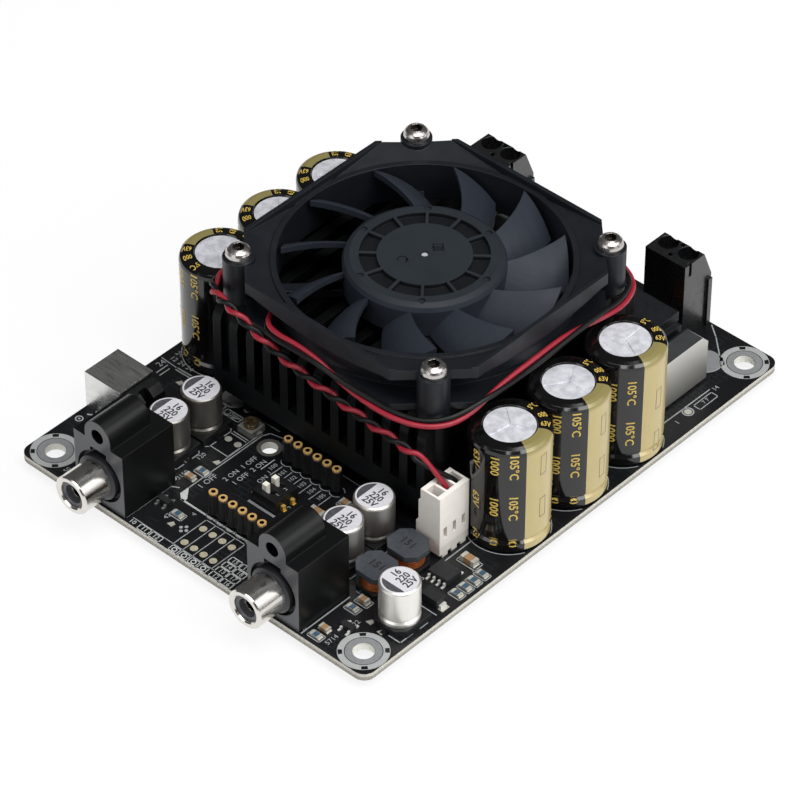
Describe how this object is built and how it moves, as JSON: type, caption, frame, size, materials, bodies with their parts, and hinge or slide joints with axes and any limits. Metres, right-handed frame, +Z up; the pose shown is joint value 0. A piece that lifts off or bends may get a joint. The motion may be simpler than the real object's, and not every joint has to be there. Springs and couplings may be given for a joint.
{
  "type": "audio amplifier board",
  "caption": "Black audio amplifier board with a fan-cooled heatsink, phono inputs, screw terminals and large storage capacitors.",
  "frame": {"origin": "middle of the four fixing holes, on the underside of the board", "axes": "+X along the audio input edge, +Y towards the loudspeaker terminals, +Z up out of the board"},
  "size_m": [0.091, 0.1271, 0.0414],
  "materials": {
    "board": "satin",
    "solder": "satin",
    "heatsink": "matte",
    "pad": "matte",
    "steel": "polished",
    "fan_plastic": "satin",
    "black_plastic": "satin",
    "gloss_black": "gloss",
    "magnet": "matte",
    "bronze": "satin",
    "copper": "satin",
    "green_board": "satin",
    "lead_red": "satin",
    "nylon": "satin",
    "sleeve": "gloss",
    "can": "satin",
    "nickel": "polished",
    "gold": "polished",
    "insert": "matte",
    "ferrite": "matte",
    "dark_ferrite": "matte",
    "ceramic": "matte"
  },
  "bodies": {
    "board": {"circuit_board": "board", "solder_joints": "solder", "heatsink": "heatsink", "thermal_pad": "pad", "amplifier_chip": "black_plastic", "heatsink_screws": "steel", "fan_frame": "fan_plastic", "fan_bearing": "bronze", "stator_core": "steel", "stator_coils": "copper", "fan_circuit": "green_board", "fan_screws": "steel", "fan_lead": "lead_red", "plug_housing": "nylon", "plug_contacts": "nickel", "fan_header": "nylon", "can_capacitors": "can", "can_bases": "black_plastic", "rca_body_1": "gloss_black", "rca_body_2": "gloss_black", "rca_shells": "nickel", "rca_inserts": "insert", "rca_contacts": "gold", "power_jack_shield": "nickel", "power_jack_body": "black_plastic", "power_jack_pin": "gold", "terminal_block_1": "black_plastic", "terminal_block_2": "black_plastic", "choke_cores": "ferrite", "choke_bobbins": "black_plastic", "choke_windings": "copper", "drum_cores": "dark_ferrite", "drum_windings": "copper", "socket_strips": "black_plastic", "socket_contacts": "gold", "switch_body": "black_plastic", "trimmer_base": "ceramic", "chip_packages": "black_plastic", "chip_parts": "ceramic", "storage_capacitor_1": "sleeve", "storage_capacitor_2": "sleeve", "storage_capacitor_3": "sleeve", "storage_capacitor_4": "sleeve", "storage_capacitor_5": "sleeve", "storage_capacitor_6": "sleeve"},
    "rotor": {"fan_impeller": "fan_plastic", "rotor_yoke": "steel", "rotor_magnet": "magnet", "fan_shaft": "steel"},
    "slider_1": {"switch_slider_1": "nylon"},
    "slider_2": {"switch_slider_2": "nylon"},
    "trimmer": {"trimmer_rotor": "steel"},
    "screw_1": {"terminal_screw_1": "steel"},
    "clamp_1": {"terminal_clamp_1": "gold"},
    "screw_2": {"terminal_screw_2": "steel"},
    "clamp_2": {"terminal_clamp_2": "gold"},
    "screw_3": {"terminal_screw_3": "steel"},
    "clamp_3": {"terminal_clamp_3": "gold"},
    "screw_4": {"terminal_screw_4": "steel"},
    "clamp_4": {"terminal_clamp_4": "gold"}
  },
  "joints": [
    {"name": "fan_spin", "type": "hinge", "parent": "board", "child": "rotor", "pos_m": [0, 0.00574, 0.032], "axis": [0, 0, 1], "continuous": true},
    {"name": "switch_1_slide", "type": "slide", "parent": "board", "child": "slider_1", "axis": [1, 0, 0], "range_m": [0, 0.0015]},
    {"name": "switch_2_slide", "type": "slide", "parent": "board", "child": "slider_2", "axis": [1, 0, 0], "range_m": [0, 0.0015]},
    {"name": "trimmer_turn", "type": "hinge", "parent": "board", "child": "trimmer", "pos_m": [-0.0168, -0.0253, 0.0035], "axis": [0, 0, 1], "range_deg": [-135, 135]},
    {"name": "screw_1_turn", "type": "hinge", "parent": "board", "child": "screw_1", "pos_m": [0.01966, 0.0554, 0.012], "axis": [0, 0, -1], "continuous": true},
    {"name": "clamp_1_lift", "type": "slide", "parent": "board", "child": "clamp_1", "axis": [0, 0, 1], "range_m": [0, 0.002]},
    {"name": "screw_2_turn", "type": "hinge", "parent": "board", "child": "screw_2", "pos_m": [0.02474, 0.0554, 0.012], "axis": [0, 0, -1], "continuous": true},
    {"name": "clamp_2_lift", "type": "slide", "parent": "board", "child": "clamp_2", "axis": [0, 0, 1], "range_m": [0, 0.002]},
    {"name": "screw_3_turn", "type": "hinge", "parent": "board", "child": "screw_3", "pos_m": [-0.02694, 0.0554, 0.012], "axis": [0, 0, -1], "continuous": true},
    {"name": "clamp_3_lift", "type": "slide", "parent": "board", "child": "clamp_3", "axis": [0, 0, 1], "range_m": [0, 0.002]},
    {"name": "screw_4_turn", "type": "hinge", "parent": "board", "child": "screw_4", "pos_m": [-0.02186, 0.0554, 0.012], "axis": [0, 0, -1], "continuous": true},
    {"name": "clamp_4_lift", "type": "slide", "parent": "board", "child": "clamp_4", "axis": [0, 0, 1], "range_m": [0, 0.002]}
  ],
  "couplings": [
    {"joint": "screw_1_turn", "follows": "clamp_1_lift", "rad_per_m": 12566},
    {"joint": "screw_2_turn", "follows": "clamp_2_lift", "rad_per_m": 12566},
    {"joint": "screw_3_turn", "follows": "clamp_3_lift", "rad_per_m": 12566},
    {"joint": "screw_4_turn", "follows": "clamp_4_lift", "rad_per_m": 12566}
  ]
}
